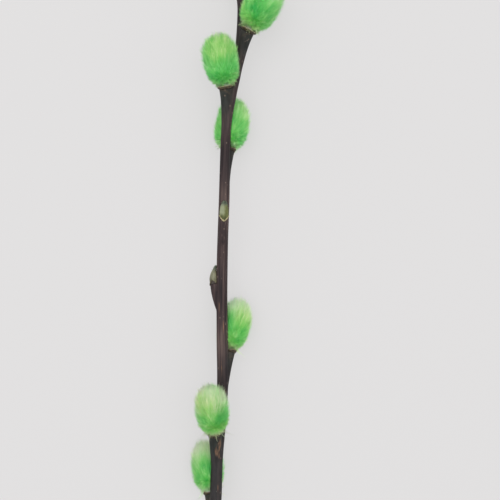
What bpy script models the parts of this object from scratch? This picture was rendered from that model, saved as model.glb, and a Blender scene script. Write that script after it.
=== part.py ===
"""A cut branch of pussy willow with dyed green catkins, lying on a flat surface.

The woody stem is one solid, with a flared spur under every catkin and leaf bud.
Each furry catkin, each papery scale collar at a catkin's foot and each leaf bud is its own object.
Metres, +Z up. The branch lies along Y with its tip at +Y, and its lowest catkins rest on z = 0.
"""

import math
import random

import bmesh
import bpy
import numpy as np
from mathutils import Matrix, Vector
from mathutils.bvhtree import BVHTree

MM = 0.001
UP = Vector((0, 0, 1))

# The stem. Distances run along Y, with 0 where the lowest catkin sits.
CUT_END = -41 * MM
STEM_TIP = 362 * MM
CUT_SLANT = math.radians(-32)
TRIMMED = 2 * MM
KNIFE_SIZE = 30 * MM
STEM_RINGS = 58
STEM_SIDES_RESOLUTION = 4
# The stem's line, which bends a little at every catkin: distance along Y, then X, then height, in mm.
STEM_LINE = [
    (-41, -5.0, 14.2),
    (-16, -3.8, 14.3),
    (3, -2.8, 14.2),
    (19, -2.2, 13.9),
    (35, -0.8, 13.6),
    (51, 0.2, 13.2),
    (73, 0.1, 13.1),
    (92, -0.1, 13.3),
    (113, 0.2, 13.9),
    (136, 1.0, 14.6),
    (158, 1.5, 15.2),
    (171, 2.3, 15.4),
    (182, 4.4, 15.4),
    (193, 6.8, 15.3),
    (207, 8.1, 15.2),
    (225, 8.7, 14.9),
    (245, 7.9, 14.1),
    (266, 8.3, 12.8),
    (287, 6.6, 11.3),
    (309, 6.3, 9.9),
    (330, 4.2, 9.2),
    (347, 3.9, 9.0),
    (362, 2.8, 9.3),
]
# The stem's radius at some distances along Y, in millimetres.
STEM_RADII = [
    (-41, 2.75),
    (9, 2.63),
    (76, 2.56),
    (112, 2.48),
    (135, 2.36),
    (169, 2.22),
    (207, 1.82),
    (250, 1.65),
    (300, 1.35),
    (362, 1.0),
]

# The catkins, from the cut end to the tip: seat along Y in mm, angle round the stem in degrees, lean away
# from the stem in degrees, length in mm, width in mm, and how blunt its tip is, where 2 is an ellipse.
# Angle 0 points to +X and angle 90 points up.
CATKINS = [
    (1.5, 239, 20, 24.5, 15.2, 2.2),
    (29.5, 117, 23, 24.5, 15.4, 2.3),
    (66.0, 312, 20, 24.8, 15.0, 2.6),
    (157.0, 286, 20, 25.6, 15.9, 2.8),
    (184.0, 150, 25, 23.9, 16.2, 3.5),
    (210.5, 25, 28, 26.0, 17.2, 2.8),
    (236.0, 243, 22, 24.0, 15.2, 2.4),
    (261.0, 110, 23, 22.5, 14.4, 2.8),
    (285.0, 340, 22, 21.0, 13.4, 2.3),
    (307.0, 208, 22, 19.0, 12.2, 2.6),
    (327.0, 72, 22, 17.0, 11.0, 2.3),
    (345.0, 295, 20, 15.0, 9.8, 2.4),
    (356.5, 160, 20, 13.5, 8.8, 2.2),
]
# The leaf buds: seat along Y in mm, angle round the stem in degrees.
LEAF_BUDS = [(-24.0, 15), (97.2, 190), (126.3, 86)]
LEAF_BUD_LENGTH = 7.8 * MM
LEAF_BUD_WIDTH = 4.1 * MM
LEAF_BUD_THICKNESS = 2.9 * MM
LEAF_BUD_LEAN_IN = 0.4
LEAF_BUD_SIDES = 12
# A leaf bud's outline from its broad foot to its blunt tip: shares of its length, width and thickness.
LEAF_BUD_OUTLINE = [
    (0, 0, 0),
    (0.01, 0.72, 0.8),
    (0.08, 0.86, 0.92),
    (0.2, 0.97, 1.0),
    (0.36, 1.0, 1.0),
    (0.52, 0.97, 0.9),
    (0.67, 0.88, 0.74),
    (0.81, 0.74, 0.55),
    (0.92, 0.54, 0.38),
    (0.985, 0.3, 0.22),
    (1, 0, 0),
]

# A seat is the flat top of a spur. A catkin's is this share of the catkin's width, and its middle stands
# out from the bark by this share of its own radius. The spur below a catkin of the width given here has
# the length given here, and the others are in proportion.
SEAT_SHARE = 0.39
SEAT_OVERHANG = 0.52
SPUR_LENGTH = 20 * MM
SPUR_FOR_WIDTH = 15
SPUR_RINGS = 7
SPUR_SIDES_RESOLUTION = 3
SPUR_START = 0.85
SPUR_BEND = 0.45
SPUR_FLARE = 1.6
BUD_SPUR_LENGTH = 13 * MM
BUD_SEAT_RADIUS = 1.9 * MM
BUD_LEAN = 0.1

# The hairline gaps between pieces, and how a piece is moved off one that it would touch.
GAP = 0.3 * MM
STEM_CLEARANCE = 0.32 * MM
LEAST_SHARE = 0.05
KEPT_OFF = 0.36 * MM
KEEP_OFF_ROUNDS = 60
KEEP_OFF_STEP = 0.15 * MM
NEAR = 2 * MM
SURELY_INSIDE = -0.7
ON_THE_SPOT = 0.002 * MM

# The scale collars. The lip drops where the stem passes: it is full as far round as the first cosine of the
# angle from the way out, and low from the second.
COLLAR_THICKNESS = 0.8 * MM
COLLAR_LIP = 0.75 * MM
LEAST_LIP = 0.1 * MM
COLLAR_SIDES = 14
COLLAR_OPENS_FROM = -0.1
COLLAR_OPEN_BY = -0.7

# A catkin's outline: how blunt its foot is, where 2 is an ellipse, how low its widest place is, where 1 is
# the middle, and how much closer its rows stand at both ends, where 1 is as on a ball.
FOOT_BLUNT = 4.3
WIDEST_LOW = 0.95
ROUNDED_ENDS = 0.4

# The fur: rows of tufts up a catkin, tufts in a row, how far they stand out, how far they sweep to the tip
# as a share of a row, and how uneven they are. A small catkin has fewer.
TUFT_ROWS = 14
TUFTS_IN_ROW = 11
SMALL_BELOW = 12.5
SMALL_ROWS = 10
SMALL_TUFTS_IN_ROW = 9
TUFT_DEPTH = 0.95 * MM
TUFT_SWEEP = 0.5
UNEVEN = 0.05
# Fur that comes this near to the surface below lies flat on it.
FLATTENED = 0.85 * MM

BARK = (0.045, 0.03, 0.032)
FUR_GREEN = (0.17, 0.56, 0.12)
SCALE_OCHRE = (0.30, 0.20, 0.07)
BUD_OLIVE = (0.16, 0.17, 0.06)


def clear_scene():
    for old in list(bpy.data.objects):
        bpy.data.objects.remove(old)


def material(name, colour, roughness):
    made = bpy.data.materials.new(name)
    made.use_nodes = True
    shader = made.node_tree.nodes["Principled BSDF"]
    shader.inputs["Base Color"].default_value = (*colour, 1)
    shader.inputs["Roughness"].default_value = roughness
    shader.inputs["Metallic"].default_value = 0
    return made


def stem_point(along):
    """The middle of the stem at this distance along Y: a smooth cubic through the points of STEM_LINE."""
    line = np.array(STEM_LINE) * MM
    slopes = np.gradient(line[:, 1:], line[:, 0], axis=0)
    i = int(np.clip(np.searchsorted(line[:, 0], along) - 1, 0, len(line) - 2))
    step = line[i + 1, 0] - line[i, 0]
    t = (along - line[i, 0]) / step
    start, end = line[i, 1:], line[i + 1, 1:]
    across = (
        (2 * t**3 - 3 * t**2 + 1) * start
        + (t**3 - 2 * t**2 + t) * step * slopes[i]
        + (3 * t**2 - 2 * t**3) * end
        + (t**3 - t**2) * step * slopes[i + 1]
    )
    return Vector((across[0], along, across[1]))


def stem_radius(along):
    at, radii = np.array(STEM_RADII).T * MM
    return float(np.interp(along, at, radii))


def stem_direction(along):
    return (stem_point(along + MM) - stem_point(along - MM)).normalized()


def outward(along, angle):
    """The direction that leaves the stem square to it, at this angle round it."""
    forward = stem_direction(along)
    side = forward.cross(UP).normalized()
    return math.cos(angle) * side + math.sin(angle) * side.cross(forward)


def tube(name, points, radii, resolution):
    """A closed mesh tube through these points. Its caps are welded, because a curve leaves them loose."""
    curve = bpy.data.curves.new(name, "CURVE")
    curve.dimensions = "3D"
    curve.bevel_depth = 1
    curve.bevel_resolution = resolution
    curve.use_fill_caps = True
    spline = curve.splines.new("POLY")
    spline.points.add(len(points) - 1)
    for point, place, radius in zip(spline.points, points, radii):
        point.co = (*place, 1)
        point.radius = radius
    drawn = bpy.data.objects.new(name + "_line", curve)
    bpy.context.scene.collection.objects.link(drawn)
    bpy.context.view_layer.update()
    graph = bpy.context.evaluated_depsgraph_get()
    mesh = bpy.data.meshes.new_from_object(drawn.evaluated_get(graph))
    bpy.data.objects.remove(drawn)
    shape = bmesh.new()
    shape.from_mesh(mesh)
    bmesh.ops.remove_doubles(shape, verts=shape.verts, dist=0.001 * MM)
    bmesh.ops.recalc_face_normals(shape, faces=shape.faces)
    shape.to_mesh(mesh)
    shape.free()
    return bpy.data.objects.new(name, mesh)


def seat_of(along, angle, lean, radius):
    """Where a catkin sits: the seat's middle, the direction that the catkin grows in, and the way out."""
    out = outward(along, angle)
    offset = stem_radius(along) + SEAT_OVERHANG * radius
    grows = math.cos(lean) * stem_direction(along) + math.sin(lean) * out
    return stem_point(along) + offset * out, grows, out


def spur(name, along, angle, lean, radius, length):
    """The flared shoulder below a seat. It leaves the stem's middle, bends out and widens to the seat."""
    seat, grows, _ = seat_of(along, angle, lean, radius)
    start = stem_point(along - length)
    bend = seat - grows * SPUR_BEND * length
    thin = SPUR_START * stem_radius(along - length)
    points, radii = [], []
    for t in np.linspace(0, 1, SPUR_RINGS):
        points.append((1 - t) ** 2 * start + 2 * t * (1 - t) * bend + t**2 * seat)
        radii.append(thin + (radius - thin) * t**SPUR_FLARE)
    return tube(name, points, radii, SPUR_SIDES_RESOLUTION)


def stem(collection, bark):
    """The main shoot joined with every spur, and cut off on a slant at its thick end."""
    stations = np.linspace(CUT_END, STEM_TIP, STEM_RINGS)
    points = [stem_point(s) for s in stations]
    shoot = tube("stem", points, [stem_radius(s) for s in stations], STEM_SIDES_RESOLUTION)
    collection.objects.link(shoot)

    spurs = bpy.data.collections.new("spurs")
    bpy.context.scene.collection.children.link(spurs)
    for n, (along, angle, lean, _, width, _) in enumerate(CATKINS, 1):
        radius = SEAT_SHARE * width * MM / 2
        length = SPUR_LENGTH * width / SPUR_FOR_WIDTH
        made = spur(f"spur_{n}", along * MM, math.radians(angle), math.radians(lean), radius, length)
        spurs.objects.link(made)
    for n, (along, angle) in enumerate(LEAF_BUDS, 1):
        place = (along * MM, math.radians(angle), BUD_LEAN)
        spurs.objects.link(spur(f"bud_spur_{n}", *place, BUD_SEAT_RADIUS, BUD_SPUR_LENGTH))

    bpy.ops.mesh.primitive_cube_add(size=KNIFE_SIZE)
    knife = bpy.context.object
    knife.name = "knife"
    knife.rotation_euler.x = CUT_SLANT
    back = knife.rotation_euler.to_matrix() @ Vector((0, -KNIFE_SIZE / 2, 0))
    knife.location = stem_point(CUT_END + TRIMMED) + back
    knife.hide_render = True
    knife.display_type = "WIRE"

    union = shoot.modifiers.new("with_spurs", "BOOLEAN")
    union.operation = "UNION"
    union.operand_type = "COLLECTION"
    union.collection = spurs
    trim = shoot.modifiers.new("slanted_cut", "BOOLEAN")
    trim.operation = "DIFFERENCE"
    trim.object = knife
    apply_modifiers(shoot)
    for done in [*spurs.objects, knife]:
        bpy.data.objects.remove(done)
    bpy.data.collections.remove(spurs)
    shoot.data.materials.clear()
    shoot.data.materials.append(bark)
    shoot.data.shade_smooth()
    shoot.data.set_sharp_from_angle(angle=math.radians(50))
    return shoot


def apply_modifiers(obj):
    bpy.context.view_layer.update()
    graph = bpy.context.evaluated_depsgraph_get()
    mesh = bpy.data.meshes.new_from_object(obj.evaluated_get(graph))
    obj.modifiers.clear()
    obj.data = mesh


def held_off_stem(middle, place):
    """place, drawn back towards middle where it would come nearer to the stem than the clearance."""
    if (place - middle).length < ON_THE_SPOT:
        return place
    centre = stem_point(place.y)
    forward = stem_direction(place.y)
    limit = stem_radius(place.y) + STEM_CLEARANCE
    reach = place - middle
    start = middle - centre
    reach -= reach.dot(forward) * forward
    start -= start.dot(forward) * forward
    if (start + reach).length >= limit and not crosses(start, reach, limit):
        return place
    a, b, c = reach.length_squared, start.dot(reach), start.length_squared - limit**2
    share = (-b - math.sqrt(max(b * b - a * c, 0))) / a
    return middle + (place - middle) * min(max(share, LEAST_SHARE), 1)


def crosses(start, reach, limit):
    """Whether a step from start passes through the round stem, seen along it."""
    nearest = min(max(-start.dot(reach) / reach.length_squared, 0), 1)
    return (start + nearest * reach).length < limit


def keep_off(piece, surface):
    """Moves the corners of each triangle that comes too near to a surface, until none does."""
    shape = bmesh.new()
    shape.from_mesh(piece.data)
    shape.transform(piece.matrix_world)
    for _ in range(KEEP_OFF_ROUNDS):
        pushes = {}
        for face in shape.faces:
            corners = [v.co for v in face.verts]
            spots = [face.calc_center_median(), *corners]
            spots += [(corners[i] + corners[i - 1]) / 2 for i in range(len(corners))]
            for spot in spots:
                nearest, normal, _, distance = surface.find_nearest(spot, NEAR)
                if nearest is None or distance < ON_THE_SPOT:
                    continue
                away = (spot - nearest) / distance
                inside = away.dot(normal) < SURELY_INSIDE
                lacking = KEPT_OFF + (distance if inside else -distance)
                if lacking > ON_THE_SPOT:
                    for vertex in face.verts:
                        if lacking > pushes.get(vertex, (0, None))[0]:
                            pushes[vertex] = (lacking, -away if inside else away)
        if not pushes:
            break
        for vertex, (lacking, away) in pushes.items():
            vertex.co += away * min(lacking, KEEP_OFF_STEP)
    shape.transform(piece.matrix_world.inverted())
    shape.to_mesh(piece.data)
    shape.free()


def round_body(name, collection, seat, grows, out, rows, sides, shape_at, finish):
    """A closed body on a seat. shape_at gives the height, outward and sideways reach at a row and side."""
    shape = bmesh.new()
    bmesh.ops.create_uvsphere(shape, u_segments=sides, v_segments=rows, radius=1)
    across = (out - out.dot(grows) * grows).normalized()
    frame = Matrix((across, grows.cross(across), grows)).transposed().to_4x4()
    frame.translation = seat
    to_local = frame.inverted()
    for vertex in shape.verts:
        row = round((1 - math.acos(max(-1, min(1, vertex.co.z))) / math.pi) * rows)
        side = round(math.atan2(vertex.co.y, vertex.co.x) / (2 * math.pi) * sides) % sides
        height, reach_out, reach_side = shape_at(row, side)
        middle = frame @ Vector((0, 0, height))
        place = frame @ Vector((reach_out, reach_side, height))
        vertex.co = to_local @ finish(middle, place)
    bmesh.ops.triangulate(shape, faces=shape.faces, quad_method="SHORT_EDGE")
    mesh = bpy.data.meshes.new(name)
    shape.to_mesh(mesh)
    shape.free()
    mesh.shade_smooth()
    made = bpy.data.objects.new(name, mesh)
    made.matrix_world = frame
    collection.objects.link(made)
    return made


def pressed(middle, place):
    """The fur gives way to the stem, and lies flat where it meets the surface below."""
    place = held_off_stem(middle, place)
    if place.z < FLATTENED:
        place.z = 0
    return place


def catkin(name, collection, fur, place, growth):
    """A furry catkin: a blunt egg with tufts that stand out in a diamond lattice and sweep to its tip."""
    along, angle, lean, length, width, tip_blunt = place
    seat_radius = SEAT_SHARE * width * MM / 2
    seat, grows, out = seat_of(along * MM, math.radians(angle), math.radians(lean), seat_radius)
    foot = seat + grows * (2 * GAP + COLLAR_THICKNESS)
    small = width < SMALL_BELOW
    rows = SMALL_ROWS if small else TUFT_ROWS
    sides = 2 * (SMALL_TUFTS_IN_ROW if small else TUFTS_IN_ROW)

    def shape_at(row, side):
        stands_out = (row + side) % 2 == 0
        end = row in (0, rows)
        level = min(row / rows + (TUFT_SWEEP / rows if stands_out and not end else 0), 1)
        on_ball = (1 - math.cos(math.pi * level)) / 2
        height = level + ROUNDED_ENDS * (on_ball - level)
        from_middle = 2 * height**WIDEST_LOW - 1
        blunt = FOOT_BLUNT if from_middle < 0 else tip_blunt
        radius = width * MM / 2 * math.sqrt(1 - abs(from_middle) ** blunt)
        taper = math.sin(math.pi * row / rows) ** 0.6
        radius -= 0 if stands_out else TUFT_DEPTH * taper
        radius *= 1 + UNEVEN * taper * (growth.random() - 0.5)
        turn = 2 * math.pi * side / sides
        reach = 0 if end else radius
        return height * length * MM, reach * math.cos(turn), reach * math.sin(turn)

    made = round_body(name, collection, foot, grows, out, rows, sides, shape_at, pressed)
    made.data.materials.append(fur)
    return made


def scale_collar(name, collection, ochre, place):
    """What is left of the bud scale: a thin saucer with a raised lip, cut short where the stem passes."""
    along, angle, lean, _, width, _ = place
    radius = SEAT_SHARE * width * MM / 2
    seat, grows, out = seat_of(along * MM, math.radians(angle), math.radians(lean), radius)
    foot = seat + grows * GAP
    across = (out - out.dot(grows) * grows).normalized()
    rim = 1.17 * radius
    # Each point: how far out, how high, and whether the lip raises it.
    profile = [
        (0, 0, 0),
        (0.93 * radius, 0, 0),
        (1.1 * radius, 0.55 * COLLAR_THICKNESS, 0),
        (rim, COLLAR_THICKNESS, 1),
        (1.02 * radius, COLLAR_THICKNESS, 1),
        (0.86 * radius, COLLAR_THICKNESS, 0),
        (0, COLLAR_THICKNESS, 0),
    ]

    def shape_at(row, side):
        turn = 2 * math.pi * side / COLLAR_SIDES
        direction = math.cos(turn) * across + math.sin(turn) * grows.cross(across)
        middle = foot + grows * COLLAR_THICKNESS
        room = (held_off_stem(middle, middle + rim * direction) - middle).length / rim
        reach, height, lip = profile[row]
        closed = (math.cos(turn) - COLLAR_OPEN_BY) / (COLLAR_OPENS_FROM - COLLAR_OPEN_BY)
        height += lip * (LEAST_LIP + (COLLAR_LIP - LEAST_LIP) * min(max(closed, 0), 1))
        return height, room * reach * math.cos(turn), room * reach * math.sin(turn)

    made = round_body(name, collection, foot, grows, out, len(profile) - 1, COLLAR_SIDES, shape_at, as_it_is)
    made.data.materials.append(ochre)
    return made


def as_it_is(_, place):
    return place


def leaf_bud(name, collection, olive, along, angle):
    """A dormant leaf bud: a flattened dome on its shelf that hugs the stem, with its blunt tip turned in."""
    along = along * MM
    out = outward(along, math.radians(angle))
    grows = stem_direction(along + LEAF_BUD_LENGTH / 2)
    hug = stem_radius(along) + STEM_CLEARANCE + LEAF_BUD_THICKNESS / 2
    foot = stem_point(along + GAP) + hug * out

    def shape_at(row, side):
        height, wide, thick = LEAF_BUD_OUTLINE[row]
        turn = 2 * math.pi * side / LEAF_BUD_SIDES
        lean_in = -LEAF_BUD_LEAN_IN * LEAF_BUD_THICKNESS * height**3
        return (
            height * LEAF_BUD_LENGTH,
            lean_in + thick * LEAF_BUD_THICKNESS / 2 * math.cos(turn),
            wide * LEAF_BUD_WIDTH / 2 * math.sin(turn),
        )

    def hugging(middle, spot):
        centre = stem_point(spot.y)
        away = spot - centre
        away -= away.dot(grows) * grows
        limit = stem_radius(spot.y) + STEM_CLEARANCE
        return spot + away.normalized() * max(limit - away.length, 0)

    rows = len(LEAF_BUD_OUTLINE) - 1
    made = round_body(name, collection, foot, grows, out, rows, LEAF_BUD_SIDES, shape_at, hugging)
    made.data.materials.append(olive)
    return made


def centre_on_origin(collection):
    """Moves the whole branch, by one parent, so that the middle of its box is on the Z axis."""
    bpy.context.view_layer.update()
    corners = [obj.matrix_world @ Vector(c) for obj in collection.objects for c in obj.bound_box]
    holder = bpy.data.objects.new("willow_branch", None)
    collection.objects.link(holder)
    for obj in collection.objects:
        if obj is not holder:
            obj.parent = holder
    for axis in range(2):
        values = [corner[axis] for corner in corners]
        holder.location[axis] = -(min(values) + max(values)) / 2


def surface_of(*pieces):
    """The outsides of these pieces, placed in the world, for measuring distances to them."""
    places, faces = [], []
    for piece in pieces:
        start = len(places)
        places += [piece.matrix_world @ v.co for v in piece.data.vertices]
        faces += [[start + i for i in face.vertices] for face in piece.data.polygons]
    return BVHTree.FromPolygons(places, faces)


def build():
    clear_scene()
    branch = bpy.data.collections.new("willow_branch")
    bpy.context.scene.collection.children.link(branch)
    bark = stem(branch, material("bark", BARK, 0.5))
    fur = material("fur", FUR_GREEN, 0.85)
    ochre = material("scale", SCALE_OCHRE, 0.6)
    olive = material("leaf_bud", BUD_OLIVE, 0.55)
    growth = random.Random(7)
    for n, place in enumerate(CATKINS, 1):
        collar = scale_collar(f"scale_collar_{n:02d}", branch, ochre, place)
        keep_off(collar, surface_of(bark))
        keep_off(catkin(f"catkin_{n:02d}", branch, fur, place, growth), surface_of(bark, collar))
    for n, (along, angle) in enumerate(LEAF_BUDS, 1):
        keep_off(leaf_bud(f"leaf_bud_{n}", branch, olive, along, angle), surface_of(bark))
    centre_on_origin(branch)


build()
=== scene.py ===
import math

import bpy
import numpy as np
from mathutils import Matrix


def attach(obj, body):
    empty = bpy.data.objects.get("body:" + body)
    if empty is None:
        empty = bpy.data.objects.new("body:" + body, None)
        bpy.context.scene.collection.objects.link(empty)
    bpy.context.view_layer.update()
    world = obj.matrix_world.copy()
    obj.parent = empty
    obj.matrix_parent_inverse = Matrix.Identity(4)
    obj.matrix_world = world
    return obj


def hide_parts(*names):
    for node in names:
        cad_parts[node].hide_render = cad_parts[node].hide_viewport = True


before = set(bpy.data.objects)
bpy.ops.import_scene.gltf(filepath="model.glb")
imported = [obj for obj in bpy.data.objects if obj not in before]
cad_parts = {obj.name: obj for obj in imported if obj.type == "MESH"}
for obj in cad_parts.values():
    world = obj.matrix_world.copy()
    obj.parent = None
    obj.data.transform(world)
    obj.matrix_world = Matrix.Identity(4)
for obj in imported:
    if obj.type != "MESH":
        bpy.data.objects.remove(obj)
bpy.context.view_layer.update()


# The stem. One dark woody shoot, cut on a slant at its thick foot and dried back to a little stub at its tip.
# Its bark is thin and smooth, furrowed along its length, with pale pores and a few scuffs that show the bast.
# It swells into a flared spur below every catkin and every leaf bud, which grew there as part of the wood.
MM = 0.001
MIDDLE = np.array([-7.92, -165.44, 0.0]) * MM
CUT_END, STEM_TIP = -39 * MM, 362 * MM
CUT_SLANT, SLANT_FADES_IN = math.radians(32), 12 * MM

# Distance along Y, then X, then height, in millimetres: the same bends as the solid stem has.
STEM_LINE = np.array([
    (-41, -5.0, 14.2), (-16, -3.8, 14.3), (3, -2.8, 14.2), (19, -2.2, 13.9), (35, -0.8, 13.6),
    (51, 0.2, 13.2), (73, 0.1, 13.1), (92, -0.1, 13.3), (113, 0.2, 13.9), (136, 1.0, 14.6),
    (158, 1.5, 15.2), (171, 2.3, 15.4), (182, 4.4, 15.4), (193, 6.8, 15.3), (207, 8.1, 15.2),
    (225, 8.7, 14.9), (245, 7.9, 14.1), (266, 8.3, 12.8), (287, 6.6, 11.3), (309, 6.3, 9.9),
    (330, 4.2, 9.2), (347, 3.9, 9.0), (362, 2.8, 9.3),
]) * MM
# Distance along Y and the bare shoot's radius, in millimetres.
STEM_RADII = np.array([
    (-41, 2.75), (9, 2.63), (76, 2.56), (112, 2.48), (135, 2.36),
    (169, 2.22), (207, 1.82), (250, 1.65), (300, 1.35), (362, 1.0),
]) * MM

# The catkins: seat along Y, angle round the stem, lean away from it, length and width, in millimetres and
# degrees, how blunt the tip is, where 2 is an ellipse, and how pale the dye left the upper end, up to 1.
CATKINS = [
    (1.5, 239, 20, 24.5, 15.2, 2.2, 0.9),
    (29.5, 117, 23, 24.5, 15.4, 2.3, 0.85),
    (66.0, 312, 20, 24.8, 15.0, 2.6, 0.85),
    (157.0, 286, 20, 25.6, 15.9, 2.8, 0.4),
    (184.0, 150, 25, 23.9, 16.2, 3.5, 0.15),
    (210.5, 25, 28, 26.0, 17.2, 2.8, 0.3),
    (236.0, 243, 22, 24.0, 15.2, 2.4, 0.6),
    (261.0, 110, 23, 22.5, 14.4, 2.8, 0.8),
    (285.0, 340, 22, 21.0, 13.4, 2.3, 0.5),
    (307.0, 208, 22, 19.0, 12.2, 2.6, 0.9),
    (327.0, 72, 22, 17.0, 11.0, 2.3, 0.6),
    (345.0, 295, 20, 15.0, 9.8, 2.4, 0.8),
    (356.5, 160, 20, 13.5, 8.8, 2.2, 0.7),
]
LEAF_BUDS = [(-24.0, 15), (97.2, 190), (126.3, 86)]
SEAT_SHARE, SEAT_OVERHANG = 0.39, 0.52
SPUR_LENGTH, SPUR_FOR_WIDTH, SPUR_START, SPUR_BEND, SPUR_FLARE = 20 * MM, 15, 0.85, 0.45, 1.6
BUD_SPUR_LENGTH, BUD_SEAT_RADIUS, BUD_LEAN = 13 * MM, 1.9 * MM, 0.1
SPUR_BLEND, FURROW_DEPTH, SWELLING_DEPTH, FURROW_RANGE = 0.2 * MM, 0.07 * MM, 0.035 * MM, 0.4 * MM

# Each spur: its seat along Y, angle round the stem, lean, seat radius and length, in metres and radians.
CATKIN_SPURS = [
    (along * MM, math.radians(angle), math.radians(lean), SEAT_SHARE * width * MM / 2,
     SPUR_LENGTH * width / SPUR_FOR_WIDTH)
    for along, angle, lean, _, width, _, _ in CATKINS
]
BUD_SPURS = [
    (along * MM, math.radians(angle), BUD_LEAN, BUD_SEAT_RADIUS, BUD_SPUR_LENGTH)
    for along, angle in LEAF_BUDS
]
SPURS = CATKIN_SPURS + BUD_SPURS


def unit(vectors):
    """Each vector divided by its length."""
    return vectors / np.maximum(np.linalg.norm(vectors, axis=-1, keepdims=True), 1e-12)


def between(turn, first, second):
    """The way at an angle from one way to another, square to it: cos(turn) first + sin(turn) second."""
    return np.cos(turn)[..., None] * first + np.sin(turn)[..., None] * second


def all_round(sides):
    """Angles all the way round, evenly apart."""
    return np.linspace(0, 2 * math.pi, sides, endpoint=False)


def smooth_step(x, low, high):
    """0 up to low, 1 from high, and 3t squared less 2t cubed in between."""
    t = np.clip((x - low) / (high - low), 0, 1)
    return t * t * (3 - 2 * t)


def smooth_through(known, values, x):
    """A smooth line through known values: cubics, which leave and meet each with its neighbours' slope."""
    slopes = np.gradient(values, known, axis=0)
    i = np.clip(np.searchsorted(known, x) - 1, 0, len(known) - 2)
    step = (known[i + 1] - known[i])[..., None]
    t = (x - known[i])[..., None] / step
    return (
        (2 * t**3 - 3 * t**2 + 1) * values[i]
        + (t**3 - 2 * t**2 + t) * step * slopes[i]
        + (3 * t**2 - 2 * t**3) * values[i + 1]
        + (t**3 - t**2) * step * slopes[i + 1]
    )


def stem_middle(along):
    """The stem's axis, through the points of STEM_LINE."""
    xz = smooth_through(STEM_LINE[:, 0], STEM_LINE[:, 1:], along)
    return np.stack([xz[..., 0], along, xz[..., 1]], -1) + MIDDLE


def stem_axes(along):
    """The ways along the stem there, to its right and up, all square to each other."""
    forward = unit(stem_middle(along + MM) - stem_middle(along - MM))
    right = unit(np.cross(forward, [0.0, 0.0, 1.0]))
    return forward, right, np.cross(right, forward)


def out_of_stem(along, turn):
    """The way out of the stem at an angle round it: 0 is right, and a quarter turn is up."""
    _, right, up = stem_axes(along)
    return between(turn, right, up)


def stem_radius(along):
    """The bare shoot's radius, read off the line between the known places."""
    return np.interp(along, STEM_RADII[:, 0], STEM_RADII[:, 1])


def larger(a, b, blend):
    """The larger of two lengths, with the crease between them filled over the width of blend."""
    near = np.maximum(blend - np.abs(a - b), 0) / blend
    return np.maximum(a, b) + near**2 * blend / 4


def spur_reach(along, turn, spur):
    """How far a spur's skin is from the stem's axis, for each place along it and each angle round it.
    The spur is a round tube: its middle leaves the axis on a parabola through a bend and ends at the seat.
    Its radius grows with a power of the way up. The flat seat, square to the catkin's lean, cuts it off."""
    seat, seat_turn, lean, radius, length = spur
    t = np.linspace(0, 1, 60)
    offset = stem_radius(seat) + SEAT_OVERHANG * radius
    bend_out = max(offset - SPUR_BEND * length * math.sin(lean), 0)
    places = seat - length * (1 - t) ** 2 - 2 * t * (1 - t) * SPUR_BEND * length * math.cos(lean)
    outs = 2 * t * (1 - t) * bend_out + t**2 * offset
    t = np.interp(along, places, t, left=-1)
    out = np.where(along > seat, offset + (along - seat) * math.tan(lean), np.interp(along, places, outs))
    thin = SPUR_START * stem_radius(seat - length)
    round_radius = thin + (radius - thin) * np.clip(t, 0, 1) ** SPUR_FLARE
    away = np.cos(turn - seat_turn)
    inside = round_radius**2 - out**2 * (1 - away**2)
    on_skin = (inside > 0) & ((away > 0) | (out < round_radius))
    skin = np.where(on_skin, out * away + np.sqrt(np.abs(inside)), 0)
    cut = (offset + (seat - along) / math.tan(lean)) / np.maximum(away, 1e-3)
    skin = np.where(away > 0, np.minimum(skin, np.maximum(cut, 0)), np.where(along > seat, 0, skin))
    return np.where((t < 0) | (along > seat + radius), 0, skin)


def bark_reach(along, turn):
    """The whole skin's distance from the axis: the shoot, or a spur where one stands out further."""
    along, turn = np.broadcast_arrays(along, turn)
    reach = stem_radius(along) * np.ones_like(turn)
    for spur in SPURS:
        near = (along > spur[0] - spur[4]) & (along < spur[0] + spur[3])
        if near.any():
            reach[near] = larger(reach[near], spur_reach(along[near], turn[near], spur), SPUR_BLEND)
    return reach


def furrows(along, turn):
    """Relief of the bark: whole waves round the stem whose phases drift along it, which makes long furrows,
    and slower swellings along it."""
    draw = np.random.default_rng(11)
    relief = 0
    for waves in (5, 8, 11, 13, 17, 19, 23):
        drift = np.sin(along / (14 * MM) + draw.uniform(0, 6.3)) * draw.uniform(0.5, 1.6)
        strength = 0.5 + 0.5 * np.sin(along / (draw.uniform(5, 17) * MM) + draw.uniform(0, 6.3))
        relief = relief + strength * np.sin(waves * turn + drift + draw.uniform(0, 6.3)) / waves**0.6
    swelling = np.sin(along / (9.1 * MM)) + np.sin(along / (5.3 * MM) + 1.0)
    return FURROW_DEPTH * relief + SWELLING_DEPTH * swelling


def rings_along(low, high, count):
    """Places along the stem, four times as close at a seat, where its flat face has to be drawn."""
    fine = np.linspace(low, high, 6000)
    weight = np.ones_like(fine)
    for seat, _, _, radius, _ in SPURS:
        weight += 3.2 * np.exp(-(((fine - seat) / (0.75 * radius)) ** 2))
    total = np.concatenate([[0], np.cumsum((weight[1:] + weight[:-1]) / 2)])
    return np.interp(np.linspace(0, total[-1], count), total, fine)


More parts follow.
